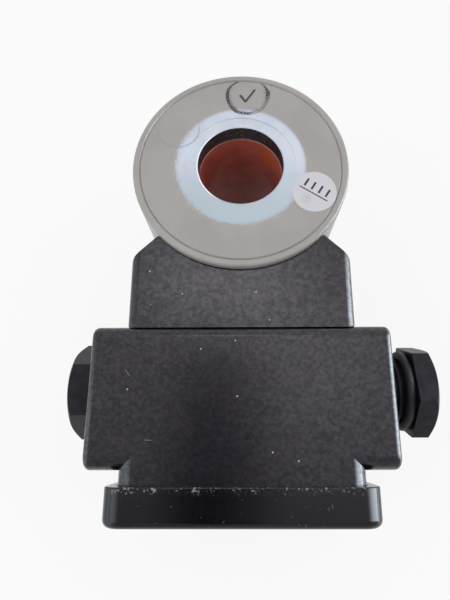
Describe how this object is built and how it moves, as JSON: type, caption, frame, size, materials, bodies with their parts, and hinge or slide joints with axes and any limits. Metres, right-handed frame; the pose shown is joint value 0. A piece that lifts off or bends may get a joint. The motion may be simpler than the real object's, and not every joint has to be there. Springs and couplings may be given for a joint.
{
  "type": "solenoid coil with terminal box",
  "caption": "Round steel-cased solenoid coil with a through bore for a cartridge valve, and a moulded terminal box with a screwed cover and hexagonal screw plugs in its cable entries.",
  "frame": {"origin": "centre of the coil's bore at the coil's back face", "axes": "+Z along the bore towards the coil's front face; -Y from the coil towards the terminal box's cover; +X across the box towards the plug that stands part way out"},
  "size_m": [0.1024, 0.1283, 0.0535],
  "materials": {
    "coil_paint": "warm grey paint, satin, with bare zinc-plated steel round the bore",
    "bobbin_brown": "glossy red-brown moulding",
    "copper_wire": "enamelled copper wire",
    "winding_tape": "yellow polyester tape",
    "potting_resin": "cast black resin",
    "label_paper": "off-white paper label",
    "box_plastic": "charcoal glass-filled moulding with a fine mottled grain",
    "cover_plastic": "smooth near-black moulding, scuffed on its near edge",
    "plug_black": "black moulding",
    "seal_rubber": "black rubber",
    "insert_brass": "turned brass",
    "pin_metal": "tinned copper alloy",
    "zinc_steel": "zinc-plated steel",
    "screw_steel": "stainless steel",
    "board_green": "green solder mask",
    "terminal_grey": "light grey polyamide",
    "component_black": "black epoxy",
    "varistor_blue": "blue epoxy dip"
  },
  "bodies": {
    "coil_and_box": {"coil_housing": "coil_paint", "front_pole_plate": "coil_paint", "rear_pole_plate": "coil_paint", "coil_bobbin": "bobbin_brown", "copper_winding": "copper_wire", "winding_tape": "winding_tape", "coil_potting": "potting_resin", "inspection_label": "label_paper", "coil_saddle": "box_plastic", "saddle_inserts": "insert_brass", "terminal_box": "box_plastic", "box_fixing_screws": "zinc_steel", "lead_pins": "pin_metal", "earth_pin": "pin_metal", "terminal_board": "board_green", "board_screws": "zinc_steel", "terminal_block": "terminal_grey", "terminal_clamps": "insert_brass", "terminal_screws": "zinc_steel", "bridge_rectifier": "component_black", "varistor": "varistor_blue", "cover_screw_inserts": "insert_brass"},
    "cover": {"box_cover": "cover_plastic", "cover_gasket": "seal_rubber", "cover_screws": "screw_steel", "cover_screw_washers": "zinc_steel"},
    "left_seal_ring": {"left_plug_seal": "seal_rubber"},
    "left_screw_plug": {"left_plug": "plug_black"},
    "right_seal_ring": {"right_plug_seal": "seal_rubber"},
    "right_screw_plug": {"right_plug": "plug_black"}
  },
  "joints": [
    {"name": "cover_lift", "type": "slide", "parent": "coil_and_box", "child": "cover", "axis": [0, -1, 0], "range_m": [0, 0.025]},
    {"name": "left_plug_travel", "type": "slide", "parent": "coil_and_box", "child": "left_seal_ring", "axis": [-1, 0, 0], "range_m": [0, 0.0105]},
    {"name": "left_plug_turn", "type": "hinge", "parent": "left_seal_ring", "child": "left_screw_plug", "pos_m": [-0.0425, -0.0627, 0.0291], "axis": [-1, 0, 0], "range_deg": [0, 2520]},
    {"name": "right_plug_travel", "type": "slide", "parent": "coil_and_box", "child": "right_seal_ring", "axis": [1, 0, 0], "range_m": [-0.006, 0.0045]},
    {"name": "right_plug_turn", "type": "hinge", "parent": "right_seal_ring", "child": "right_screw_plug", "pos_m": [0.0485, -0.0627, 0.0291], "axis": [1, 0, 0], "range_deg": [-1440, 1080]}
  ],
  "couplings": [
    {"joint": "left_plug_travel", "follows": "left_plug_turn", "m_per_rad": 0.00023873},
    {"joint": "right_plug_travel", "follows": "right_plug_turn", "m_per_rad": 0.00023873}
  ]
}
